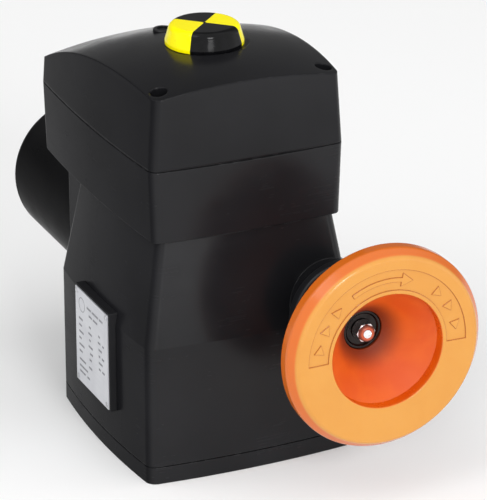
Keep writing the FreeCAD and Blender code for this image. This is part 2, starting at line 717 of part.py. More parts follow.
def face_mark(outline, angle, radius):
    """A groove of the given outline on the wheel face. Its +X points clockwise around the
    wheel and its +Y away from the centre."""
    spread = math.radians(angle)
    at = (D.worm_x + radius * math.cos(spread), -(D.wheel_front - MARK_DEPTH),
          D.worm_level + radius * math.sin(spread))
    turn = ALONG["-Y"] * FreeCAD.Rotation(V(0, 0, 1), angle - 90)
    return padded(outline, 3, at, turn=turn)


def make_wheel_hub():
    hub = revolved([(8, 117), (17.5, 117), (17.5, 127.6), (15, 127.6), (15, 141.4), (14.4, 142), (13, 142), (12, 141),
                    (12, 140.4), (8, 140.4)], (D.worm_x, 0, D.worm_level), "-Y")
    sub_part("wheel_hub", hub)
    sub_part("wheel_washer", tube((D.worm_x, -140.4, D.worm_level), 8, 4.2, 1.2, "-Y"))
    at = (D.worm_x, -141.6, D.worm_level)
    hexagon = common(prism(at, 6, 7.5, 6.5, "-Y"), cone((D.worm_x, -141.6, D.worm_level), 12, 7.1, 6.5, "-Y"))
    ball = doc.addObject("Part::Sphere", fresh("Sphere"))
    ball.Radius = 6.4
    place(ball, (D.worm_x, -147.6, D.worm_level))
    dome_half = common(ball, box((40, -160, 100), (40, 15, 44)))
    nut = cut(fuse(hexagon, dome_half), cylinder((D.worm_x, -141, D.worm_level), 4, 7.4, "-Y"))
    sub_part("cap_nut", nut)


def make_gear_train():
    gap = 0.18
    plane = value_of(D.train_start)
    module = value_of(D.train_module)
    face = value_of(D.train_width)
    first = math.degrees(math.atan2(MOTOR_CENTRE[1] - IDLER_LEVEL, MOTOR_CENTRE[0] - IDLER_X))
    second = math.degrees(math.atan2(WORM_CENTRE[1] - IDLER_LEVEL, WORM_CENTRE[0] - IDLER_X))
    pitch = 360.0 / IDLER_TEETH
    offset = ((second - first) % pitch) / pitch
    # A tooth of the idler points at the motor pinion; the mates get a gap there.
    pinion_phase = first + 180 + 180.0 / PINION_TEETH
    gear_phase = second + 180 + offset * 360.0 / WORM_GEAR_TEETH + 180.0 / WORM_GEAR_TEETH
    idler = upright_gear(IDLER_TEETH, module, face, gap, (IDLER_X, plane, IDLER_LEVEL), first)
    holes = ring_of(5, 22, lambda u, v: cylinder((IDLER_X + u, plane - 1, IDLER_LEVEL + v), 6, face + 2, "+Y"))
    holes.append(cylinder((IDLER_X, plane - 1, IDLER_LEVEL), 6.05, face + 2, "+Y"))
    sub_part("idler_gear", cut(idler, *holes))
    pin = fuse(cylinder((IDLER_X, 84.9, IDLER_LEVEL), 6, 31.5, "-Y"), cylinder((IDLER_X, 55.6, IDLER_LEVEL), 9, 2.2, "-Y"))
    sub_part("idler_pin", pin)
    gear = upright_gear(WORM_GEAR_TEETH, module, face, gap, (WORM_CENTRE[0], plane, WORM_CENTRE[1]), gear_phase)
    bore = cylinder((D.worm_x, plane - 1, D.worm_level), BEARING_BORE, face + 2, "+Y")
    sub_part("worm_gear", cut(gear, bore))
    pinion = upright_gear(PINION_TEETH, module, face, gap, (MOTOR_CENTRE[0], plane, MOTOR_CENTRE[1]), pinion_phase)
    shaft = cylinder((D.motor_x, 52, D.motor_level), 6, 164, "+Y")
    sub_part("motor_shaft", fuse(shaft, pinion))


def upright_gear(teeth, module, face, thin, at, phase):
    """A spur gear whose axis lies along Y. Its tooth angle is measured from +X towards +Z."""
    gear = spun_teeth(teeth, module, face, thin, (0, 0, 0), "+Z", -phase)
    return place(gear, at, "+Y")


# ---------------------------------------------------------------- motor
def make_motor():
    """The motor: an end shield inside the mouth of the can, stator, rotor and two bearings."""
    outer = D.motor_outer
    wall = D.motor_wall
    start = D.motor_start
    end = D.motor_end
    shield = cylinder((D.motor_x, start - 6.05, D.motor_level), outer - wall - 0.1, 6, "+Y")
    spigot = cylinder((D.motor_x, start - 0.05, D.motor_level), 26, 4, "+Y")
    holes = [cylinder((D.motor_x, start - 10, D.motor_level), 16, 20, "+Y")]
    holes += [cylinder((x, start - 10, z), 3.3, 20, "+Y") for x, z in MOTOR_BOLTS]
    sub_part("motor_flange", cut(fuse(shield, spigot), *holes))
    mouth = D.block_rear + 0.3
    can = revolved([(outer - wall, mouth), (outer, mouth), (outer, end - 8.6), (outer - 8.6, end, 8.6), (0, end),
                    (0, end - wall), (outer - wall - 5, end - wall), (outer - wall, end - wall - 5, -5)],
                   (D.motor_x, 0, D.motor_level), "+Y")
    sub_part("motor_housing", can)
    core_start = start + 19
    core_length = end - start - 49
    sub_part("stator_core", tube((D.motor_x, core_start, D.motor_level), outer - wall - 0.1, 30, core_length, "+Y"))
    ends = (core_start - 6.1, core_start + core_length + 6.1)
    sub_part("stator_windings", group(*[torus((D.motor_x, y, D.motor_level), 39, 6, "+Y") for y in ends]))
    sub_part("rotor_core", tube((D.motor_x, core_start, D.motor_level), 29.5, 6, core_length, "+Y"))
    front = tube((D.motor_x, start - 5.5, D.motor_level), 16, 6.05, 9, "+Y")
    rear = tube((D.motor_x, end - 14, D.motor_level), 20, 6.05, 10.4, "+Y")
    sub_part("motor_bearings", group(front, rear))


# ---------------------------------------------------------------- output column
def make_output():
    shaft = revolved([(0, 3.6), (D.output_outer, 3.6), (D.output_outer, 98), (25, 98), (25, 106), (20, 106), (20, 150),
                      (18, 150), (18, 184), (12, 184), (12, 205), (0, 205)])
    square = D.drive_square
    socket = box((-square / 2, -square / 2, -1), (square, square, 33))
    sub_part("output_shaft", cut(shaft, socket))
    blank = spun_teeth(WHEEL_TEETH, value_of(D.gear_module), 16, 0.6, (0, 0, D.worm_level - 8), "+Z", WHEEL_PHASE,
                       WHEEL_TWIST)
    hub = cylinder((0, 0, D.worm_level - 15.7), 30, 31)
    lightening = ring_of(6, 36.5, lambda x, y: cylinder((x, y, D.worm_level - 9), 4.5, 18))
    sub_part("worm_wheel", cut(fuse(blank, hub), cylinder((0, 0, D.worm_level - 20), 20, 40), *lightening))
    arms = fuse(box((-36, -9, STOP_LEVEL - 6), (36, 18, 12)), box((-9, -36, STOP_LEVEL - 6), (18, 36, 12)),
                cylinder((0, 0, STOP_LEVEL - 6), 30, 12))
    limit = cylinder((0, 0, STOP_LEVEL - 7), 36, 14)
    hub_cut = cylinder((0, 0, STOP_LEVEL - 10), D.output_outer, 20)
    clear = [box((-40, 9, STOP_LEVEL - 7), (80, 40, 14)), box((9, -40, STOP_LEVEL - 7), (40, 80, 14))]
    sub_part("stop_arms", cut(common(arms, limit), hub_cut, *clear))
    sub_part("cam_shaft", cylinder((0, 0, 205), 6, 102))
    cams = [cam(level, lobe) for level, lobe in CAMS]
    sub_part("switch_cams", group(*cams))


WHEEL_PHASE = 0
WHEEL_TWIST = 0
CAMS = ((211, 150), (225, 60))


def cam(level, lobe_angle):
    """A disc with a raised sector that is centred at lobe_angle degrees."""
    disc = cylinder((0, 0, level), D.cam_radius, 6)
    lobe = cylinder((0, 0, level), D.cam_radius + 2, 6)
    lobe.Angle = 60
    lobe.Placement = FreeCAD.Placement(V(0, 0, level), FreeCAD.Rotation(V(0, 0, 1), lobe_angle - 30))
    hub = cylinder((0, 0, level - 5.8), 9, 13.8)
    return cut(fuse(disc, lobe, hub), cylinder((0, 0, level - 8), 6, 20))


def make_indicator():
    base = D.indicator_base
    top = D.indicator_top
    low = D.dome_top - 1.5
    high = D.indicator_level
    body = revolved([(0, low), (base, low), (base, low + 2.4), (top + 2, high - 4.2), (top - 2.6, high, 4.9), (0, high)])
    core = revolved([(0, low), (base - 3, low), (base - 3, low + 2), (top - 1.5, high - 5), (top - 4, high - 2),
                     (0, high - 2)])
    wedges = []
    for middle in (0, 180):
        wedge = cylinder((0, 0, low - 1), 40, 30)
        wedge.Angle = 90
        wedge.Placement = FreeCAD.Placement(V(0, 0, value_of(low) - 1), FreeCAD.Rotation(V(0, 0, 1), middle - 45))
        wedges.append(wedge)
    both = cut(fuse(*wedges), cylinder((0, 0, low - 2), 1.2, 40))
    sub_part("indicator_sectors", cut(common(body, both), core))
    bore = cylinder((0, 0, low - 1), 6, 307 - value_of(low) + 1)
    sub_part("indicator_body", cut(fuse(cut(body, both), core), bore))


# ---------------------------------------------------------------- bushes, seals, end stops
def make_supports():
    journal = D.output_outer
    sub_part("lower_bush", tube((0, 0, 4.4), 25, journal + D.running_gap, 9.4))
    sub_part("upper_bush", tube((0, 0, 158), 22, 18 + 0.05, 24))
    sub_part("output_seal", tube((0, 0, D.floor_level + 0.6), 22, 12.05, 5))
    screws = []
    for x in (-STOP_X, STOP_X):
        shank = cylinder((x, 9.5, STOP_LEVEL), 4.9, 98, "+Y")
        screws.append(cut(shank, prism((x, 102, STOP_LEVEL), 6, 2.9, 10, "+Y")))
    sub_part("stop_screws", group(*screws))
    nuts = []
    for x in (-STOP_X, STOP_X):
        at = (x, 90, STOP_LEVEL)
        nuts.append(cut(prism(at, 6, 9.2, 6, "+Y"), cylinder((x, 85, STOP_LEVEL), 4.9, 20, "+Y")))
    sub_part("stop_nuts", group(*nuts))


# ---------------------------------------------------------------- electrical parts
def make_glands():
    bodies = []
    caps = []
    for y in GLAND_Y:
        at = (81.2, y, GLAND_LEVEL)
        shank = cylinder((68, y, GLAND_LEVEL), 9.9, 14, "+X")
        hexagon = prism(at, 6, 13.4, 6, "+X")
        neck = cylinder((87.2, y, GLAND_LEVEL), 9, 8, "+X")
        bodies.append(cut(fuse(shank, hexagon, neck), cylinder((60, y, GLAND_LEVEL), 6.5, 50, "+X")))
        dome_nut = fuse(prism((88.2, y, GLAND_LEVEL), 6, 12.6, 8, "+X"), cone((96.2, y, GLAND_LEVEL), 11, 8, 6, "+X"))
        bore = fuse(cylinder((86, y, GLAND_LEVEL), 9, 9.2, "+X"), cylinder((86, y, GLAND_LEVEL), 5, 20, "+X"))
        caps.append(cut(dome_nut, bore))
    sub_part("gland_bodies", group(*bodies))
    sub_part("gland_caps", group(*caps))
    plug = fuse(cylinder((70, -20, GLAND_LEVEL), 9.9, 12, "+X"), prism((81.2, -20, GLAND_LEVEL), 6, 13.4, 4.5, "+X"))
    sub_part("blanking_plug", cut(plug, cylinder((84.2, -20, GLAND_LEVEL), 5, 4, "+X")))


def make_electrics():
    level = D.floor_level + 6
    foot = box((-60, -26, level), (26, 52, 2))
    wall = box((-42, -26, level), (2, 52, 52))
    sub_part("switch_bracket", fuse(foot, wall))
    switches = []
    for index, (cam_base, _) in enumerate(CAMS, start=1):
        middle = cam_base + 3
        case = box((-40, -14, middle - 5), (16, 28, 10))
        bore = cylinder((-34, 0, middle), 2.05, 12, "+X")
        ears = [cylinder((-32, y, middle - 6), 1.6, 12) for y in (-10, 10)]
        switches.append(cut(case, bore, *ears))
        tip = cylinder((-31, 0, middle), 2, 13.6, "+X")
        sub_part("switch_plunger_%d" % index, tip)
    sub_part("limit_switches", group(*switches))
    strip = box((-38, -72, level), (76, 14, 16))
    slots = [box((-36 + 9 * k, -73, value_of(level) + 5), (6.4, 8, 20)) for k in range(8)]
    sub_part("terminal_strip", cut(strip, *slots))
    heads = [cylinder((-32.8 + 9 * k, -61.4, value_of(level) + 16), 2.3, 1.4) for k in range(8)]
    sub_part("terminal_screws", group(*heads))
    board = box((-52, 62, level + 22), (104, 1.6, 66))
    pads = [cylinder((x, 60, value_of(level) + 30), 2, 5, "+Y") for x in (-46, 46)]
    sub_part("circuit_board", cut(board, *pads))
    relays = [box((x, 46, value_of(level) + 45), (18, 16, 26)) for x in (-40, -10, 20)]
    sub_part("relays", group(*relays))
    sub_part("motor_capacitor", cylinder((-58, 102, 228), 15, 62, "+X"))
    heater = fuse(box((-66, -12, level), (5.5, 24, 12)), *[box((-70, -12 + 5 * k, level), (9.5, 1.6, 18)) for k in range(5)])
    sub_part("heater", heater)


def make_nameplate():
    plate = box((-92.9, -32.2, 40.2), (0.9, 61.8, 76))
    holes = [cylinder((-95, y, z), 1.2, 5, "+X") for y, z in RIVETS]
    sub_part("nameplate", cut(plate, *holes))
    rivets = [fuse(cylinder((-93.4, y, z), 2, 0.5, "+X"), cylinder((-92.9, y, z), 1.2, 0.9, "+X")) for y, z in RIVETS]
    sub_part("nameplate_rivets", group(*rivets))


RIVETS = [(y, z) for y in (-29.2, 26.6) for z in (43.2, 113.2)]

make_base_plate()
make_base_trim()
make_gear_housing()
make_control_housing()
make_case_trim()
make_top_cover()
make_cover_trim()
make_worm_cover()
make_bearings()
make_worm_shaft()
make_handwheel()
make_wheel_hub()
make_gear_train()
make_motor()
make_output()
make_indicator()
make_supports()
make_glands()
make_electrics()
make_nameplate()

# ---------------------------------------------------------------- checks and export
doc.recompute()
faults = [obj.Name for obj in doc.Objects if "Invalid" in obj.State or "Error" in obj.State]
for obj in sub_parts:
    if obj.Shape.isNull() or not obj.Shape.isValid():
        faults.append(obj.Label)
if faults:
    raise RuntimeError("failed objects: " + ", ".join(faults))
labels = [obj.Label for obj in sub_parts]
if len(set(labels)) != len(labels) or len(labels) > 60:
    raise RuntimeError("sub-part names repeat or are too many")
for obj in sub_parts:
    obj.Shape.exportStep("parts/%s.step" % obj.Label)
print(len(sub_parts), "sub-parts written")
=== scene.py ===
import math

import bmesh
import bpy
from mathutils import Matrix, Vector


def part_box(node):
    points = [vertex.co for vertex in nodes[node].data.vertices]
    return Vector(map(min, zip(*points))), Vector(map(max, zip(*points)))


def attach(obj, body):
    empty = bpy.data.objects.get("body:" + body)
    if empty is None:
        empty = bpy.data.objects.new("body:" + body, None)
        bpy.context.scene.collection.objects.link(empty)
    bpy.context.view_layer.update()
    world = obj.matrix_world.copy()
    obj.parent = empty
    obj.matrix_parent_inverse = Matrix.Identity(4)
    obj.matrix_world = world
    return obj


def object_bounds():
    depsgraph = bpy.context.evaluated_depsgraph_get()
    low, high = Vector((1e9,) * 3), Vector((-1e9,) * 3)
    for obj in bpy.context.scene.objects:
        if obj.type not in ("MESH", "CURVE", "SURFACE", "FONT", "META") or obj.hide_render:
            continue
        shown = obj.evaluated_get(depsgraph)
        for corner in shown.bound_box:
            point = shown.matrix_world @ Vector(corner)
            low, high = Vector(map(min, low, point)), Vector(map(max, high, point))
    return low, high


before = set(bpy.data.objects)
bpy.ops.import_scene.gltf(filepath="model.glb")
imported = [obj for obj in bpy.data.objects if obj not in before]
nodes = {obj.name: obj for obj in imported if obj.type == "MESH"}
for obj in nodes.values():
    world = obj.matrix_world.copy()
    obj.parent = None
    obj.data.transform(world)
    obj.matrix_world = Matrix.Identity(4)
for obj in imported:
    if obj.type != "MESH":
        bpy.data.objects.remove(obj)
cad_low, cad_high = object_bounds()
scene = bpy.context.scene

# Lengths are in metres. srgb() takes 0-255 screen values; every other colour is linear.
WHEEL_X = 0.060
WHEEL_Z = 0.122
MOTOR_X = -0.0121
MOTOR_Z = 0.1317
WHEEL_AXIS = (WHEEL_X, 0, WHEEL_Z)
MOTOR_AXIS = (MOTOR_X, 0, MOTOR_Z)

# Radii and depths on the handwheel, each as the two ends of a soft change.
RIM_EDGE = (0.0712, 0.0735)
RING_INNER_EDGE = (0.0432, 0.0442)
FUNNEL_MOUTH = (0.046, 0.043)
FUNNEL_THROAT = (0.029, 0.0155)
BAND_INNER_EDGE = (0.0458, 0.0464)
BAND_OUTER_EDGE = (0.0634, 0.0626)
WHEEL_FRONT = (-0.1795, -0.1818)

BEVEL_SAMPLES = 6
# Cosines between the true and the softened normal, on flat ground and on a full edge.
EDGE_COSINES = (0.995, 0.86)


# ---------------------------------------------------------------- material helpers
class Paint:
    """A node material whose patterns are placed in metres in the part's own frame."""

    def __init__(self, name, rough, metal=0.0, specular=0.5, coat=0.0, coat_rough=0.1,
                 sheen=0.0):
        self.material = bpy.data.materials.new(name)
        self.material.use_nodes = True
        self.tree = self.material.node_tree
        self.shader = self.tree.nodes["Principled BSDF"]
        settings = {
            "Roughness": rough,
            "Metallic": metal,
            "Specular IOR Level": specular,
            "Coat Weight": coat,
            "Coat Roughness": coat_rough,
            "Sheen Weight": sheen,
        }
        for socket, value in settings.items():
            self.shader.inputs[socket].default_value = value
        self.place = self.node("ShaderNodeTexCoord").outputs["Object"]

    def node(self, kind, **settings):
        made = self.tree.nodes.new(kind)
        for key, value in settings.items():
            setattr(made, key, value)
        return made

    def link(self, source, target):
        self.tree.links.new(source, target)

    def feed(self, socket, value):
        if isinstance(value, bpy.types.NodeSocket):
            self.link(value, socket)
        else:
            socket.default_value = value

    def maths(self, operation, a, b=0.0, clamp=False):
        step = self.node("ShaderNodeMath", operation=operation, use_clamp=clamp)
        for socket, value in zip(step.inputs, (a, b)):
            self.feed(socket, value)
        return step.outputs[0]

    def times(self, a, b):
        return self.maths("MULTIPLY", a, b)

    def plus(self, a, b, clamp=False):
        return self.maths("ADD", a, b, clamp)

    def stretched(self, scale):
        """The place in the part, with each axis scaled, so a pattern on it is drawn out."""
        mapping = self.node("ShaderNodeMapping")
        self.link(self.place, mapping.inputs["Vector"])
        mapping.inputs["Scale"].default_value = scale
        return mapping.outputs["Vector"]

    def noise(self, size, detail=3.0, rough=0.5, where=None, distort=0.0):
        """Noise whose features are about size metres across."""
        made = self.node("ShaderNodeTexNoise")
        self.link(where or self.place, made.inputs["Vector"])
        made.inputs["Scale"].default_value = 1.0 / size
        made.inputs["Detail"].default_value = detail
        made.inputs["Roughness"].default_value = rough
        made.inputs["Distortion"].default_value = distort
        return made.outputs["Fac"]

    def cell_walls(self, size):
        """Distance from the walls between cells about size metres across."""
        made = self.node("ShaderNodeTexVoronoi", feature="DISTANCE_TO_EDGE")
        self.link(self.place, made.inputs["Vector"])
        made.inputs["Scale"].default_value = 1.0 / size
        return made.outputs["Distance"]

    def waves(self, direction, scale, distortion):
        made = self.node("ShaderNodeTexWave", bands_direction=direction)
        self.link(self.place, made.inputs["Vector"])
        made.inputs["Scale"].default_value = scale
        made.inputs["Distortion"].default_value = distortion
        return made.outputs["Fac"]

    def vector_maths(self, operation, a, b=None):
        step = self.node("ShaderNodeVectorMath", operation=operation)
        self.feed(step.inputs[0], a)
        if b is not None:
            self.feed(step.inputs[1], b)
        return step.outputs

    def steps(self, value, low, high, out_low=0.0, out_high=1.0):
        """Maps value from low..high to out_low..out_high, held at both ends."""
        made = self.node("ShaderNodeMapRange", clamp=True, interpolation_type="SMOOTHSTEP")
        for socket, number in zip(made.inputs, (value, low, high, out_low, out_high)):
            self.feed(socket, number)
        return made.outputs["Result"]

    def blend(self, share, first, second):
        """The first colour where share is 0, the second where it is 1."""
        made = self.node("ShaderNodeMix", data_type="RGBA")
        self.feed(made.inputs["Factor"], share)
        self.feed(made.inputs[6], tint(first))
        self.feed(made.inputs[7], tint(second))
        return made.outputs[2]

    def component(self, vector, name):
        split = self.node("ShaderNodeSeparateXYZ")
        self.link(vector, split.inputs[0])
        return split.outputs[name]

    def axis(self, name):
        """One coordinate of the place in the part."""
        return self.component(self.place, name)

    def normal(self):
        return self.node("ShaderNodeNewGeometry").outputs["Normal"]

    def softened(self, reach):
        """The surface normal as if edges were rounded by reach."""
        soft = self.node("ShaderNodeBevel", samples=BEVEL_SAMPLES)
        soft.inputs["Radius"].default_value = reach
        return soft.outputs[0]

    def radius_from(self, x, z):
        """Distance from the line along Y through x, z."""
        dx = self.maths("SUBTRACT", self.axis("X"), x)
        dz = self.maths("SUBTRACT", self.axis("Z"), z)
        return self.maths("SQRT", self.plus(self.times(dx, dx), self.times(dz, dz)))

    def edges(self, reach):
        """About 1 where the surface turns sharply within reach, 0 on flat ground."""
        alike = self.vector_maths("DOT_PRODUCT", self.softened(reach), self.normal())["Value"]
        return self.steps(alike, *EDGE_COSINES)

    def colour(self, value):
        self.feed(self.shader.inputs["Base Color"], tint(value))

    def roughness(self, value):
        self.feed(self.shader.inputs["Roughness"], value)

    def relief(self, *layers, rounding=0.0):
        """Stacks (height, depth in metres) layers as bumps, over edges rounded by rounding."""
        below = self.softened(rounding) if rounding else None
        for height, depth in layers:
            bump = self.node("ShaderNodeBump")
            bump.inputs["Strength"].default_value = 1.0
            bump.inputs["Distance"].default_value = depth
            self.link(height, bump.inputs["Height"])
            if below is not None:
                self.link(below, bump.inputs["Normal"])
            below = bump.outputs[0]
        self.link(below, self.shader.inputs["Normal"])


def tint(value):
    """A linear colour from three numbers, or the socket as it is."""
    if isinstance(value, bpy.types.NodeSocket):
        return value
    return (*value, 1.0)


def linear(value):
    """One 0-255 screen value as a linear one, by the sRGB curve."""
    share = value / 255
    if share <= 0.04045:
        return share / 12.92
    return ((share + 0.055) / 1.055) ** 2.4


def srgb(red, green, blue):
    return tuple(linear(value) for value in (red, green, blue))


# ---------------------------------------------------------------- material recipes
def moulded_black(name, level=(22, 22, 24), rough=0.22, specular=0.21, rounding=0.0012,
                  grain=0.0000035, flank=0.08):
    """Satin black moulded or painted casing: fine grain, faint cloudy gloss, slightly rubbed
    edges. Faces square to X carry only the flank share of the gloss."""
    m = Paint(name, rough, specular=specular)
    dark = srgb(*level)
    light = tuple(v * 1.35 for v in dark)
    cloud = m.noise(0.09, 4.0)
    worn = m.edges(0.0009)
    scuff = m.times(worn, m.steps(m.noise(0.006, 3.0), 0.45, 0.75))
    base = m.blend(m.steps(cloud, 0.35, 0.65), dark, light)
    m.colour(m.blend(m.times(scuff, 0.35), base, srgb(92, 92, 94)))
    lines = m.noise(0.0016, 2.0, where=m.stretched((0.03, 0.03, 1.0)))
    patches = m.noise(0.03, 4.0, 0.6)
    gloss = m.plus(m.steps(patches, 0.3, 0.7, rough - 0.03, rough + 0.05),
                   m.steps(lines, 0.3, 0.7, -0.015, 0.02))
    m.roughness(m.plus(gloss, m.times(scuff, 0.12)))
    sideways = m.maths("ABSOLUTE", m.component(m.normal(), "X"))
    shine = m.steps(sideways, 0.5, 0.95, specular, specular * flank)
    m.feed(m.shader.inputs["Specular IOR Level"], shine)
    m.relief((m.noise(0.00055, 2.0), grain), rounding=rounding)
    return m.material


def wheel_orange():
    """Moulded orange plastic with light and shade painted into its colour: the front ring is paler
    as if lit, the funnel deeper as if shaded and darkest near the hub as painted shade and hub
    reflection, with faint flow marks, handling rub and painted shade along the edges of the marks
    in the band."""
    m = Paint("wheel_orange", 0.26)
    ring = m.radius_from(WHEEL_X, WHEEL_Z)
    side = m.steps(ring, *RIM_EDGE)
    front = m.steps(m.axis("Y"), *WHEEL_FRONT)
    face = m.times(front, m.steps(ring, *RING_INNER_EDGE))
    throat_shade = m.times(m.steps(ring, *FUNNEL_MOUTH), m.steps(ring, *FUNNEL_THROAT))
    band = m.times(m.steps(ring, *BAND_INNER_EDGE), m.steps(ring, *BAND_OUTER_EDGE))
    flow = m.noise(0.035, 4.0, 0.55, distort=0.6)
    fine = m.noise(0.004, 3.0)
    # Painted light and shade: the funnel's deeper orange stands for the shade inside it, the front
    # ring's paler orange for the light it catches.
    shaded_orange = m.blend(m.steps(flow, 0.35, 0.65), srgb(207, 80, 6), srgb(214, 92, 10))
    lit_orange = m.blend(m.steps(flow, 0.3, 0.7), srgb(201, 137, 55), srgb(204, 142, 60))
    body = m.blend(side, m.blend(face, shaded_orange, lit_orange), srgb(200, 98, 24))
    rubbed = m.times(m.steps(fine, 0.52, 0.72), m.steps(ring, 0.066, 0.0745))
    handled = m.blend(m.times(rubbed, 0.1), body, srgb(190, 102, 44))
    # Painted shade: the edges of the marks in the band are darkened as if their walls lay in shade.
    shaded_marks = m.blend(m.times(m.times(m.edges(0.0009), band), 0.75), handled, srgb(150, 60, 14))
    # Painted shade: towards the hub the funnel is darkened to stand for the hub's shadow and its
    # dark reflection.
    m.colour(m.blend(m.times(throat_shade, 0.8), shaded_marks, srgb(92, 24, 8)))
    satin = m.steps(m.noise(0.012, 4.0, 0.6), 0.3, 0.7, 0.16, 0.24)
    m.roughness(m.plus(satin, m.steps(ring, 0.044, 0.042, 0.0, 0.3)))
    m.relief((m.noise(0.0006, 2.0), 0.000003), rounding=0.0006)
    return m.material


def indicator_yellow():
    """Bright moulded yellow, a little dirtier in spots and along its edges."""
    m = Paint("indicator_yellow", 0.16, specular=0.12, coat=0.03, coat_rough=0.06)
    flow = m.noise(0.018, 3.0)
    rim = m.edges(0.0007)
    base = m.blend(m.steps(flow, 0.3, 0.7), srgb(254, 238, 0), srgb(255, 244, 4))
    dirt = m.times(m.steps(m.noise(0.003, 4.0), 0.6, 0.78), 0.25)
    m.colour(m.blend(m.plus(dirt, m.times(rim, 0.15), clamp=True), base, srgb(190, 176, 20)))
    m.roughness(m.steps(m.noise(0.008, 3.0), 0.3, 0.7, 0.12, 0.22))
    m.relief((m.noise(0.0007, 2.0), 0.000003), rounding=0.0007)
    return m.material


def gloss_black(name, rough):
    """Shiny moulded black with a faint haze."""
    m = Paint(name, rough, specular=0.14, coat=0.04, coat_rough=0.05)
    haze = m.noise(0.01, 4.0)
    m.colour(m.blend(m.steps(haze, 0.35, 0.7), srgb(8, 8, 9), srgb(16, 16, 18)))
    m.roughness(m.steps(m.noise(0.006, 3.0), 0.3, 0.7, rough - 0.03, rough + 0.06))
    m.relief((m.noise(0.0006, 2.0), 0.000003), rounding=0.0007)
    return m.material


def rubber(name):
    """Dull, mottled seal rubber."""
    m = Paint(name, 0.7, specular=0.25, sheen=0.15)
    m.colour(m.blend(m.noise(0.004, 4.0), srgb(16, 16, 17), srgb(34, 34, 35)))
    m.roughness(m.steps(m.noise(0.002, 3.0), 0.3, 0.7, 0.6, 0.8))
    m.relief((m.noise(0.0004, 2.0), 0.00002))
    return m.material


# What to multiply a place by to keep only its distance from a line along each axis.
AXIS_SIDES = {"X": (0, 1, 1), "Y": (1, 0, 1), "Z": (1, 1, 0)}


def turned_metal(name, base, shade, rough, along="Y", centre=(0.0, 0.0, 0.0), pitch=0.0005):
    """Machined metal: fine turning lines round the axis, brighter rubbed edges, small stains."""
    m = Paint(name, rough, metal=1.0)
    from_axis = m.vector_maths("SUBTRACT", m.place, centre)[0]
    across = m.vector_maths("MULTIPLY", from_axis, AXIS_SIDES[along])[0]
    reach = m.plus(m.vector_maths("LENGTH", across)["Value"], m.axis(along))
    rings = m.node("ShaderNodeTexNoise", noise_dimensions="1D")
    m.link(reach, rings.inputs["W"])
    rings.inputs["Scale"].default_value = 1.0 / pitch
    rings.inputs["Detail"].default_value = 2.0
    lines = rings.outputs["Fac"]
    stain = m.steps(m.noise(0.009, 5.0, 0.6), 0.42, 0.72)
    worn = m.edges(0.0006)
    body = m.blend(m.times(stain, 0.6), base, shade)
    bright = tuple(min(1.0, value * 1.25) for value in base)
    m.colour(m.blend(m.times(worn, 0.5), body, bright))
    m.roughness(m.plus(m.steps(lines, 0.3, 0.7, rough - 0.05, rough + 0.06), m.times(stain, 0.12)))
    m.relief((lines, 0.000012), rounding=0.0004)
    return m.material


def oxide_screw(name):
    """Black-oxide screw steel, rubbed bright at the rim of the socket."""
    m = Paint(name, 0.36, metal=0.85)
    worn = m.edges(0.0005)
    bright = m.times(worn, m.steps(m.noise(0.0012, 3.0), 0.35, 0.6))
    oxide = m.blend(m.noise(0.003, 3.0), srgb(34, 34, 37), srgb(58, 58, 62))
    m.colour(m.blend(bright, oxide, srgb(150, 150, 152)))
    m.roughness(m.steps(m.noise(0.0015, 3.0), 0.3, 0.7, 0.3, 0.48))
    m.relief((m.noise(0.0003, 2.0), 0.000008), rounding=0.0003)
    return m.material


def polished_chrome():
    m = Paint("polished_chrome", 0.06, metal=1.0)
    haze = m.steps(m.noise(0.004, 4.0), 0.5, 0.8)
    m.colour(m.blend(haze, srgb(236, 236, 238), srgb(196, 192, 188)))
    m.roughness(m.steps(m.noise(0.002, 4.0, 0.6), 0.35, 0.75, 0.035, 0.13))
    m.relief((m.noise(0.0008, 2.0), 0.0000015), rounding=0.0004)
    return m.material


def plate_metal():
    """Satin aluminium foil plate with a fine horizontal brush and a soft handling haze."""
    m = Paint("plate_metal", 0.42, metal=0.55)
    brush = m.noise(0.0006, 2.0, where=m.stretched((1.0, 0.02, 1.0)))
    haze = m.noise(0.02, 4.0)
    m.colour(m.blend(m.steps(haze, 0.3, 0.7), srgb(196, 197, 202), srgb(206, 207, 211)))
    m.roughness(m.steps(brush, 0.3, 0.7, 0.36, 0.5))
    m.relief((brush, 0.000004), rounding=0.0002)
    return m.material


def printed_ink():
    m = Paint("printed_ink", 0.5, specular=0.4)
    thin = m.steps(m.noise(0.0012, 3.0), 0.4, 0.75)
    m.colour(m.blend(thin, srgb(112, 113, 118), srgb(150, 151, 156)))
    m.roughness(m.steps(m.noise(0.001, 2.0), 0.3, 0.7, 0.42, 0.6))
    m.relief((m.noise(0.0004, 2.0), 0.000002))
    return m.material


def laminated_iron():
    m = Paint("laminated_iron", 0.45, metal=0.9)
    sheets = m.waves("Y", 320.0, 0.4)
    m.colour(m.blend(m.steps(sheets, 0.25, 0.5), srgb(52, 50, 50), srgb(112, 112, 116)))
    m.roughness(m.steps(m.noise(0.004, 4.0), 0.3, 0.7, 0.38, 0.58))
    m.relief((sheets, 0.00003))
    return m.material


def wound_copper():
    m = Paint("wound_copper", 0.3, metal=0.6, coat=0.6, coat_rough=0.12)
    strands = m.waves("DIAGONAL", 210.0, 2.0)
    m.colour(m.blend(strands, srgb(120, 52, 22), srgb(206, 110, 56)))
    m.roughness(m.steps(m.noise(0.003, 3.0), 0.3, 0.7, 0.24, 0.4))
    m.relief((strands, 0.00012))
    return m.material


def plain_plastic(name, first, second, rough=0.4, metal=0.0):
    """Plain moulded or cast finish, clouded between two colours."""
    m = Paint(name, rough, metal=metal)
    m.colour(m.blend(m.steps(m.noise(0.01, 4.0), 0.35, 0.65), first, second))
    m.roughness(m.steps(m.noise(0.005, 3.0), 0.3, 0.7, rough - 0.06, rough + 0.08))
    m.relief((m.noise(0.0005, 2.0), 0.000006), rounding=0.0004)
    return m.material


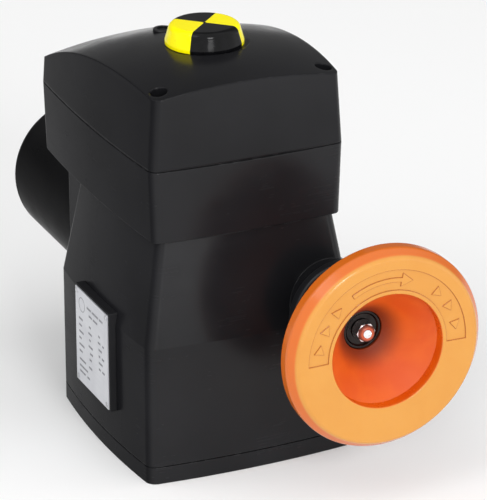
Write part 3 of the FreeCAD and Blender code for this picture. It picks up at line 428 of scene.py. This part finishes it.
def solder_board():
    """Green board with paler copper tracks under the lacquer."""
    m = Paint("solder_board", 0.28, coat=0.5, coat_rough=0.1)
    tracks = m.cell_walls(0.006)
    m.colour(m.blend(m.steps(tracks, 0.06, 0.1), srgb(70, 150, 84), srgb(18, 84, 44)))
    m.roughness(m.steps(m.noise(0.004, 3.0), 0.3, 0.7, 0.22, 0.36))
    m.relief((m.steps(tracks, 0.06, 0.1, 1.0, 0.0), 0.00004))
    return m.material


# ---------------------------------------------------------------- a material for every CAD node
def dress(material, *names):
    for name in names:
        mesh = nodes[name].data
        mesh.materials.clear()
        mesh.materials.append(material)


dress(moulded_black("control_black", flank=0.045), "control_housing")
dress(moulded_black("case_black", flank=0.09), "gear_housing", "base_plate")
dress(moulded_black("cover_black", level=(20, 20, 22), rough=0.2, specular=0.16,
                    rounding=0.0022), "top_cover")
dress(moulded_black("motor_black", level=(12, 12, 13), rough=0.3, specular=0.1),
      "motor_housing", "motor_flange")
dress(moulded_black("trim_black", level=(24, 24, 26), rough=0.34, specular=0.35,
                    rounding=0.0005, grain=0.000006),
      "nameplate_carrier", "worm_cover", "vent_plug", "blanking_plug", "gland_bodies", "gland_caps")
dress(moulded_black("inner_black", level=(40, 40, 43), rough=0.45, specular=0.3,
                    rounding=0.0004),
      "limit_switches", "relays", "terminal_strip", "switch_bracket")
dress(wheel_orange(), "handwheel")
dress(indicator_yellow(), "indicator_sectors")
dress(gloss_black("indicator_black", 0.1), "indicator_body")
dress(rubber("seal_rubber"), "base_gasket", "deck_gasket", "cover_gasket", "indicator_seal",
      "shaft_seal", "output_seal")
dress(oxide_screw("screw_oxide"), "base_screws", "housing_screws", "cover_screws",
      "worm_cover_screws", "stop_screws", "stop_nuts", "terminal_screws")
dress(polished_chrome(), "cap_nut")
dress(turned_metal("hub_steel", srgb(52, 48, 47), srgb(34, 32, 32), 0.14, centre=WHEEL_AXIS),
      "wheel_hub", "wheel_washer")
dress(turned_metal("steel_on_worm", srgb(190, 190, 192), srgb(140, 140, 142), 0.26,
                   centre=WHEEL_AXIS),
      "worm_shaft", "worm_gear", "bearing_outer_rings", "bearing_inner_races")
dress(turned_metal("steel_on_motor", srgb(184, 184, 188), srgb(136, 136, 140), 0.28,
                   centre=MOTOR_AXIS),
      "motor_shaft", "idler_gear", "idler_pin")
dress(turned_metal("steel_on_output", srgb(182, 182, 186), srgb(130, 130, 134), 0.3, along="Z"),
      "output_shaft", "stop_arms", "cam_shaft")
dress(turned_metal("bronze_on_output", srgb(206, 160, 92), srgb(150, 104, 52), 0.3, along="Z"),
      "worm_wheel", "lower_bush", "upper_bush")
dress(turned_metal("bronze_on_motor", srgb(200, 152, 86), srgb(146, 100, 50), 0.32,
                   centre=MOTOR_AXIS),
      "motor_bearings")
dress(turned_metal("rivet_steel", srgb(196, 197, 200), srgb(150, 150, 152), 0.34, along="X",
                   pitch=0.0003),
      "nameplate_rivets")
dress(plate_metal(), "nameplate")
dress(laminated_iron(), "stator_core", "rotor_core")
dress(wound_copper(), "stator_windings")
dress(plain_plastic("cam_ivory", srgb(216, 212, 196), srgb(228, 225, 212)),
      "switch_cams", "switch_plunger_1", "switch_plunger_2")
dress(solder_board(), "circuit_board")
dress(plain_plastic("can_grey", srgb(196, 197, 199), srgb(212, 213, 214), 0.3), "motor_capacitor")
dress(plain_plastic("heater_alloy", srgb(168, 168, 170), srgb(188, 188, 190), 0.35, metal=0.8),
      "heater")


# ---------------------------------------------------------------- added pieces
def piece(name, verts, faces, material, body):
    mesh = bpy.data.meshes.new(name)
    mesh.from_pydata(verts, [], faces)
    mesh.update()
    mesh.materials.append(material)
    made = bpy.data.objects.new(name, mesh)
    scene.collection.objects.link(made)
    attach(made, body)
    return made


PLATE_LOW, PLATE_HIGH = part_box("nameplate")
INK_HEIGHT = 0.00006
INK_ROOT = 0.0002
BAR_HEIGHT = 0.022
RING_CENTRE = (0.20, 0.15)
RING_RADII = (0.0052, 0.0058)
RING_SIDES = 40

# Row position down the plate: (start, length) of each bar, all as shares of the plate's size.
PRINT_ROWS = {
    0.115: [(0.36, 0.13), (0.52, 0.20), (0.75, 0.11)],
    0.185: [(0.42, 0.10), (0.55, 0.14)],
    0.30: [(0.10, 0.12), (0.42, 0.06), (0.72, 0.05)],
    0.37: [(0.10, 0.09), (0.40, 0.11), (0.70, 0.08), (0.84, 0.05)],
    0.44: [(0.10, 0.14), (0.42, 0.05), (0.72, 0.10)],
    0.51: [(0.10, 0.07), (0.40, 0.13), (0.72, 0.05), (0.82, 0.07)],
    0.58: [(0.10, 0.16), (0.44, 0.09), (0.72, 0.12)],
    0.65: [(0.10, 0.10), (0.42, 0.07), (0.72, 0.06), (0.82, 0.08)],
    0.74: [(0.10, 0.20), (0.40, 0.10)],
    0.81: [(0.10, 0.26)],
    0.87: [(0.10, 0.18), (0.34, 0.08)],
}


def on_plate(u, v):
    """Y and Z of a spot on the plate, from its upper corner at the rear, as shares of its size."""
    y = PLATE_HIGH.y - u * (PLATE_HIGH.y - PLATE_LOW.y)
    z = PLATE_HIGH.z - v * (PLATE_HIGH.z - PLATE_LOW.z)
    return y, z


def plate_print():
    """Bars and a ring printed on the type plate in place of its wording, as thin raised ink."""
    front = PLATE_LOW.x - INK_HEIGHT
    root = PLATE_LOW.x + INK_ROOT
    verts, faces = [], []

    def bar(u, v, width):
        y1, z1 = on_plate(u, v)
        y0, z0 = on_plate(u + width, v + BAR_HEIGHT)
        first = len(verts)
        for x in (front, root):
            verts.extend([(x, y0, z0), (x, y1, z0), (x, y1, z1), (x, y0, z1)])
        for quad in ((0, 3, 2, 1), (4, 5, 6, 7), (0, 1, 5, 4), (2, 3, 7, 6), (1, 2, 6, 5),
                     (3, 0, 4, 7)):
            faces.append(tuple(first + i for i in quad))

    def ring():
        y, z = on_plate(*RING_CENTRE)
        first = len(verts)
        for radius in RING_RADII:
            for x in (front, root):
                for i in range(RING_SIDES):
                    turn = math.tau * i / RING_SIDES
                    verts.append((x, y + radius * math.cos(turn), z + radius * math.sin(turn)))
        inner, inner_back, outer, outer_back = (first + k * RING_SIDES for k in range(4))
        for i in range(RING_SIDES):
            j = (i + 1) % RING_SIDES
            faces.append((inner + i, inner + j, outer + j, outer + i))
            faces.append((inner_back + j, inner_back + i, outer_back + i, outer_back + j))
            faces.append((outer + i, outer + j, outer_back + j, outer_back + i))
            faces.append((inner + j, inner + i, inner_back + i, inner_back + j))

    for v, bars in PRINT_ROWS.items():
        for u, width in bars:
            bar(u, v, width)
    ring()
    return piece("plate_print", verts, faces, printed_ink(), "casing")


plate_print()


# ---------------------------------------------------------------- floor
FLOOR_HALF_WIDTH = 6.0
FLOOR_DROP = 0.0002


def floor_material():
    m = Paint("floor_paper", 0.9, specular=0.1)
    m.colour(m.blend(m.noise(0.6, 2.0), (0.955, 0.955, 0.955), (0.975, 0.975, 0.975)))
    m.relief((m.noise(0.004, 2.0), 0.00002))
    return m.material


def make_floor():
    mesh = bpy.data.meshes.new("floor")
    shape = bmesh.new()
    bmesh.ops.create_grid(shape, x_segments=2, y_segments=2, size=FLOOR_HALF_WIDTH)
    shape.to_mesh(mesh)
    shape.free()
    mesh.materials.append(floor_material())
    floor = bpy.data.objects.new("floor", mesh)
    floor.location.z = cad_low.z - FLOOR_DROP
    scene.collection.objects.link(floor)


make_floor()


# ---------------------------------------------------------------- light
def soft_panel(name, at, aim, width, height, power):
    """A rectangular area light of power watts at a place, aimed at another."""
    lamp = bpy.data.lights.new(name, "AREA")
    lamp.shape = "RECTANGLE"
    lamp.size = width
    lamp.size_y = height
    lamp.energy = power
    made = bpy.data.objects.new(name, lamp)
    made.location = at
    made.rotation_mode = "QUATERNION"
    made.rotation_quaternion = (Vector(aim) - Vector(at)).to_track_quat("-Z", "Y")
    scene.collection.objects.link(made)


soft_panel("key_panel", at=(-0.25, -2.75, 1.4), aim=(0.0, 0.0, 0.15), width=0.8, height=0.8,
           power=30)
soft_panel("fill_panel", at=(-1.6, -0.6, 2.2), aim=(0.0, 0.0, 0.15), width=1.2, height=1.2,
           power=9)
soft_panel("low_panel", at=(0.3, -1.0, 0.08), aim=(0.0, 0.0, 0.14), width=1.4, height=0.14,
           power=0.7)


# The studio is bright above and in front of the object and dim behind it.
REAR_DIRECTION = (0.3, 0.9, 0.1)
FADE_START = 0.1
FADE_END = 0.6
FRONT_STRENGTH = 1.15
REAR_STRENGTH = 0.22

world = bpy.data.worlds.new("studio")
world.use_nodes = True
sky = world.node_tree
backdrop = sky.nodes["Background"]
backdrop.inputs["Color"].default_value = (1.0, 1.0, 1.0, 1.0)
towards_rear = sky.nodes.new("ShaderNodeVectorMath")
towards_rear.operation = "DOT_PRODUCT"
towards_rear.inputs[1].default_value = REAR_DIRECTION
direction = sky.nodes.new("ShaderNodeTexCoord").outputs["Generated"]
sky.links.new(direction, towards_rear.inputs[0])
fade = sky.nodes.new("ShaderNodeMapRange")
fade.interpolation_type = "SMOOTHSTEP"
for socket, number in zip(fade.inputs[1:5], (FADE_START, FADE_END, FRONT_STRENGTH, REAR_STRENGTH)):
    socket.default_value = number
sky.links.new(towards_rear.outputs["Value"], fade.inputs[0])
sky.links.new(fade.outputs[0], backdrop.inputs["Strength"])
scene.world = world
scene.view_settings.view_transform = "Standard"


# ---------------------------------------------------------------- camera
CAMERA_AT = Vector((-0.86934, -1.96811, 1.05785))
CAMERA_AZIMUTH = math.radians(-24.424)
CAMERA_ELEVATION = math.radians(23.110)
SENSOR_WIDTH_MM = 36.0
LENS_MM = 232.01889
SHIFT_X = 0.017125257
SHIFT_Y = -0.000595483

camera = bpy.data.cameras.new("camera")
camera.sensor_fit = "HORIZONTAL"
camera.sensor_width = SENSOR_WIDTH_MM
camera.lens = LENS_MM
camera.shift_x = SHIFT_X
camera.shift_y = SHIFT_Y
camera.clip_start = 0.1
camera.clip_end = 30.0
camera.dof.use_dof = False
eye = bpy.data.objects.new("camera", camera)
eye.location = CAMERA_AT
level_reach = math.cos(CAMERA_ELEVATION)
looking = Vector((-math.sin(CAMERA_AZIMUTH) * level_reach,
                  math.cos(CAMERA_AZIMUTH) * level_reach,
                  -math.sin(CAMERA_ELEVATION)))
eye.rotation_mode = "QUATERNION"
eye.rotation_quaternion = looking.to_track_quat("-Z", "Y")
scene.collection.objects.link(eye)
scene.camera = eye
